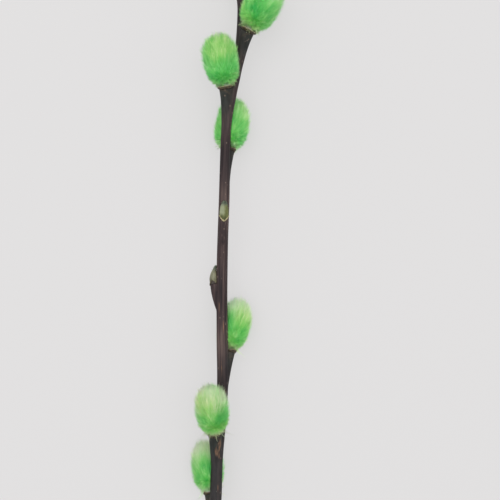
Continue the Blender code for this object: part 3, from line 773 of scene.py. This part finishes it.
    # The less dye a catkin took, the more of its wisps show.
    sets.append(coat(int(WISPS[0] * paleness), *WISPS[1:]))
    points, faces, maps, normals = zip(*sets)
    starts = np.cumsum([0] + [len(part) for part in points])
    faces = np.concatenate([part + start for part, start in zip(faces, starts)])
    piece = mesh_piece(f"catkin_fur_{n:02d}", np.concatenate(points), [faces], maps)
    piece.data.normals_split_custom_set_from_vertices(np.concatenate(normals))
    return piece


fur, paint, shader = new_finish(
    "dyed_fur", 0.8, 0.15,
    {"Sheen Weight": 0.2, "Sheen Roughness": 0.4, "Sheen Tint": (0.85, 1.0, 0.8, 1)})
on_map = paint.node("ShaderNodeUVMap", {"uv_map": "OFBake"}).outputs["UV"]
split = paint.node("ShaderNodeSeparateXYZ", Vector=on_map).outputs
shade = paint.maths("FRACT", paint.maths("MULTIPLY", split["X"], 3.0, clamp=False))
# From the deepest dye to the palest, at a hair's root, waist and tip.
FUR_SHADES = (0.05, 0.4, 0.7, 0.95)
FUR_COLOURS = [
    [(0.03, 0.38, 0.06), (0.14, 0.60, 0.10), (0.34, 0.76, 0.22), (0.64, 0.88, 0.46)],
    [(0.05, 0.52, 0.09), (0.21, 0.74, 0.16), (0.50, 0.88, 0.33), (0.84, 0.97, 0.62)],
    [(0.14, 0.66, 0.20), (0.38, 0.85, 0.31), (0.74, 0.96, 0.54), (0.96, 1.0, 0.82)],
]
root, waist, tip = (paint.ramp(shade, *zip(FUR_SHADES, colours)) for colours in FUR_COLOURS)
up_the_hair = split["Y"]
colour = paint.blend(paint.ramp(up_the_hair, (0.08, 0.0), (0.6, 1.0)), root, waist)
colour = paint.blend(paint.ramp(up_the_hair, (0.55, 0.0), (1.0, 1.0)), colour, tip)
# The three tints, from cool to warm, are side by side on the map.
tint = paint.ramp(
    split["X"], (0.0, (0.82, 1.0, 0.93)), (0.3334, (0.94, 1.0, 0.94)), (0.6667, (1.0, 0.985, 0.80)))
tint.node.color_ramp.interpolation = "CONSTANT"
paint.links.new(paint.blend(1.0, colour, tint, "MULTIPLY"), shader.inputs["Base Color"])
for n, catkin in enumerate(CATKINS, 1):
    fit_piece(fur_of(catkin, n), fur, "fur", f"catkin_{n:02d}")


# The leaf buds. Each is a flattened dome pressed to the stem above its leaf scar: one smooth cap-like scale
# with a low keel, olive with a paler side, and downy with short grey-green hairs at its blunt tip.
BUD_LENGTH, BUD_WIDTH, BUD_THICKNESS = 7.8 * MM, 4.1 * MM, 2.9 * MM
BUD_LEAN_IN, BUD_KEEL, BUD_OFF_BARK = 0.4, 0.08, 0.1 * MM
# From the broad foot to the tip: shares of the length, the width and the thickness.
BUD_OUTLINE = np.array([
    (0, 0.02, 0.02), (0.01, 0.82, 0.88), (0.08, 0.87, 0.92), (0.2, 0.97, 1.0), (0.36, 1.0, 1.0),
    (0.52, 0.97, 0.9), (0.67, 0.88, 0.74), (0.81, 0.74, 0.55), (0.92, 0.54, 0.38), (0.985, 0.3, 0.22),
    (1, 0.02, 0.02),
])
BUD_ROWS, BUD_SIDES = 84, 48
DOWN_HAIRS, DOWN_LENGTHS, DOWN_THICKNESS = 420, (0.3 * MM, 0.8 * MM), (0.02 * MM, 0.035 * MM)
DOWN_LEAN, DOWN_STRAY = 0.28 * MM, 0.08 * MM
# The leaf scar below each bud has a raised rim in a V: how far it reaches to either side, how far above the
# seat it is in the middle and at its ends, and half its width and height.
SCAR_SIDE, SCAR_LOW, SCAR_HIGH = 2.35 * MM, -0.65 * MM, 2.0 * MM
RIM_WIDE, RIM_HIGH, RIM_RAGGED, RIM_STEPS, RIM_SIDES = 0.32 * MM, 0.26 * MM, 0.07 * MM, 72, 12
# For each bud: the turn of its paler side, and how pale the scar's rim is.
PALE_SIDES, RIM_PALENESS = [1.2, 1.5, -0.9], [0.3, 0.12, 0.9]


def v_line(side):
    """How far above the seat the scar's rim is, at a distance to the side: a V whose point is rounded."""
    return SCAR_LOW + (SCAR_HIGH - SCAR_LOW) * np.abs(side / SCAR_SIDE) ** 1.4


def leaf_bud_axes(along, angle):
    """A leaf bud's foot, and the ways out from the stem, to its side and along the stem."""
    forward = stem_axes(along + BUD_LENGTH / 2)[0]
    out = out_of_stem(along, angle)
    across = unit(out - (out @ forward) * forward)
    hug = stem_radius(along) + BUD_OFF_BARK + BUD_THICKNESS / 2
    return stem_middle(along) + hug * out, across, np.cross(forward, across), forward


def leaf_bud_points(axes):
    """The dome on a grid: at each height an ellipse with a low keel outside, whose middle leans in with the
    cube of the height, so that the tip lies on the stem. The foot is fuller inside and follows the slant of
    its seat, so that no gap is left. The places, how high on the bud and how far round it they are, and how
    far above the scar's rim."""
    foot, across, sideways, forward = axes
    row, turn = np.meshgrid(np.linspace(0, 1, BUD_ROWS), all_round(BUD_SIDES), indexing="ij")
    known = np.linspace(0, 1, len(BUD_OUTLINE))
    height, wide, thick = np.moveaxis(smooth_through(known, BUD_OUTLINE, row), -1, 0)
    keel = BUD_KEEL * np.exp(-((np.angle(np.exp(1j * turn)) / 0.3) ** 2)) * thick
    inner = (np.cos(turn) < 0) * smooth_step(height, 0, 0.01) * (1 - smooth_step(height, 0.3, 0.8))
    thick = thick + inner * (1.5 - thick)
    out_by = BUD_THICKNESS * (thick / 2 * np.cos(turn) + keel - BUD_LEAN_IN * height**3)
    side_by = BUD_WIDTH * wide / 2 * np.sin(turn)
    past_seat = BUD_OFF_BARK + BUD_THICKNESS / 2 - SEAT_OVERHANG * BUD_SEAT_RADIUS + out_by
    slant = (1 - smooth_step(height, 0, 0.2)) * math.tan(BUD_LEAN) * past_seat
    up_by = 0.05 * MM + height * BUD_LENGTH - slant
    places = foot + up_by[..., None] * forward + out_by[..., None] * across + side_by[..., None] * sideways
    return off_the_bark(places, 0.03 * MM), height, turn, up_by - v_line(side_by)


def scar_rim_points(axes, draw):
    """The leaf scar's rim: a tube along the V, on the bark or on the bud's foot, whichever stands out
    further there. It is thickest in the middle, and a little ragged."""
    foot, across, sideways, forward = axes
    s = np.linspace(-1, 1, RIM_STEPS)
    ragged = sum(draw.uniform(0.4, 1) * np.sin(waves * s + draw.uniform(0, 6.3)) for waves in (7, 12, 19)) / 2
    side_by, up_by = SCAR_SIDE * s, v_line(SCAR_SIDE * s) + RIM_RAGGED * ragged
    share = np.interp(up_by / BUD_LENGTH, BUD_OUTLINE[1:6, 0], BUD_OUTLINE[1:6, 1])
    off_middle = side_by / (BUD_WIDTH / 2 * share)
    on_bud = BUD_THICKNESS / 2 * np.sqrt(np.maximum(1 - off_middle**2, 0)) * share
    line = foot + up_by[:, None] * forward + side_by[:, None] * sideways + on_bud[:, None] * across
    line = off_the_bark(line, 0.05 * MM)
    onward = unit(np.gradient(line, axis=0))
    side = unit(np.cross(onward, across))
    full = np.sqrt(np.maximum(1 - s**2, 0.02)) * (1 + 0.25 * ragged)
    around = all_round(RIM_SIDES)
    wide = (RIM_WIDE * full)[:, None] * np.cos(around)
    high = (RIM_HIGH * full)[:, None] * np.sin(around)
    return line[:, None] + wide[..., None] * side[:, None] + high[..., None] * np.cross(side, onward)[:, None]


olive, paint, shader = new_finish("leaf_bud", 0.5, 0.3)
grain = paint.grain(900, (1, 0.3, 1), 4)
colour = paint.ramp(
    grain, (0.3, (0.030, 0.036, 0.012)), (0.5, (0.085, 0.095, 0.026)), (0.72, (0.17, 0.175, 0.075)))
dull_brown = paint.ramp(grain, (0.35, (0.085, 0.07, 0.048)), (0.65, (0.25, 0.22, 0.15)))
# What is laid over the olive, in this order: where, how strongly, and in which colour.
for where, strength, over in (
    ("pale_side", 0.65, (0.30, 0.33, 0.21)), ("dull", 0.6, dull_brown), ("tip", 0.85, (0.058, 0.078, 0.062)),
    ("foot", 1.0, (0.040, 0.030, 0.024)), ("down", 1.0, (0.20, 0.24, 0.17)),
):
    colour = paint.blend(paint.times(paint.value(where), strength), colour, over)
paint.links.new(colour, shader.inputs["Base Color"])
paint.bump(shader, grain, 0.5, 0.1 * MM)

draw = np.random.default_rng(21)
for n, (along, angle) in enumerate(LEAF_BUDS, 1):
    axes = leaf_bud_axes(along * MM, math.radians(angle))
    forward = axes[3]
    places, height, turn, above_v = leaf_bud_points(axes)
    points, faces = closed_grid(places)
    # The down: short hairs, most of them near the tip, that lie forward.
    row = (BUD_ROWS * np.clip(1 - np.abs(draw.normal(0, 0.22, DOWN_HAIRS)), 0.3, 0.97)).astype(int)
    column = draw.integers(0, BUD_SIDES, DOWN_HAIRS)
    roots = places[row, column]
    leaning = unit(roots - places[row].mean(1)) * DOWN_LEAN
    spans = leaning + forward * draw.uniform(*DOWN_LENGTHS, DOWN_HAIRS)[:, None]
    spans = spans + draw.normal(0, DOWN_STRAY, (DOWN_HAIRS, 3))
    thickness = draw.uniform(*DOWN_THICKNESS, DOWN_HAIRS)
    down, down_faces, _, _ = hairs(roots, spans, thickness, np.zeros_like(spans), np.zeros(DOWN_HAIRS))
    down = off_the_bark(down.reshape(-1, 3), 0.01 * MM)
    values = {
        "tip": smooth_step(height, 0.7, 0.95),
        "foot": 1 - smooth_step(above_v, 0.0, 0.3 * MM),
        "pale_side": smooth_step(np.cos(turn - PALE_SIDES[n - 1]), 0.3, 0.9) * smooth_step(height, 0.15, 0.4),
        "dull": np.full_like(height, float(RIM_PALENESS[n - 1] < 0.5)),
        "down": np.zeros_like(height),
    }
    values = [
        (name, np.concatenate([with_ends(array), np.full(len(down), float(name == "down"))]))
        for name, array in values.items()
    ]
    all_faces = [*faces, down_faces + len(points)]
    bud = mesh_piece(f"dormant_bud_{n}", np.concatenate([points, down]), all_faces, values=values)
    fit_piece(bud, olive, "leaf_bud", f"leaf_bud_{n}")

    points, faces = closed_grid(scar_rim_points(axes, draw))
    pale_rim = np.full(len(points), RIM_PALENESS[n - 1])
    rim = mesh_piece(f"leaf_scar_rim_{n}", points, faces, values=[("lip", pale_rim)])
    fit_piece(rim, paper, "scale")


# The pale surface that the branch lies on, which isn't part of it, the soft light and the camera.
# The camera looks straight down and frames the same 225 mm of the branch as the photograph does.
VIEW_MIDDLE, VIEW_WIDTH, STEM_HEIGHT = (12.6 * MM, 112.5 * MM), 225 * MM, 14.5 * MM
LENS, SENSOR = 85, 36
WINDOW_PLACE, WINDOW_TILT, WINDOW_TURN = (-0.1, 0.2, 1.1), math.radians(-11.5), math.radians(26.5)
WINDOW_SIZE, WINDOW_POWER, SKY_STRENGTH, FLOOR_GLOW = 1.2, 5.0, 1.2, 0.52
bpy.ops.mesh.primitive_plane_add(size=6)
floor = bpy.context.object
floor.name = "pale_surface"
matt, _, _ = new_finish("pale_surface", 0.9, 0.0, {
    "Base Color": (0.17, 0.168, 0.168, 1), "Emission Color": (1, 0.985, 0.985, 1),
    "Emission Strength": FLOOR_GLOW})
floor.data.materials.append(matt)

world = bpy.data.worlds.new("soft_light")
bpy.context.scene.world = world
world.use_nodes = True
paint = Painter(world.node_tree)
direction = paint.node("ShaderNodeTexCoord").outputs["Generated"]
upward = paint.node("ShaderNodeSeparateXYZ", Vector=direction).outputs["Z"]
overhead = paint.ramp(upward, (0.0, (0.85, 0.85, 0.86)), (0.35, (0.92, 0.92, 0.93)), (1.0, (1.0, 1.0, 1.0)))
background = world.node_tree.nodes["Background"]
paint.links.new(overhead, background.inputs["Color"])
background.inputs["Strength"].default_value = SKY_STRENGTH

window_data = bpy.data.lights.new("window", "AREA")
window_data.size, window_data.energy = WINDOW_SIZE, WINDOW_POWER
window = bpy.data.objects.new("window", window_data)
window.location = WINDOW_PLACE
window.rotation_euler = (WINDOW_TILT, 0, WINDOW_TURN)
bpy.context.scene.collection.objects.link(window)

camera_data = bpy.data.cameras.new("camera")
camera_data.lens, camera_data.sensor_width = LENS, SENSOR
camera = bpy.data.objects.new("camera", camera_data)
camera.location = (*(MIDDLE[:2] + VIEW_MIDDLE), STEM_HEIGHT + VIEW_WIDTH * LENS / SENSOR)
bpy.context.scene.collection.objects.link(camera)
bpy.context.scene.camera = camera
bpy.context.scene.view_settings.view_transform = "Standard"
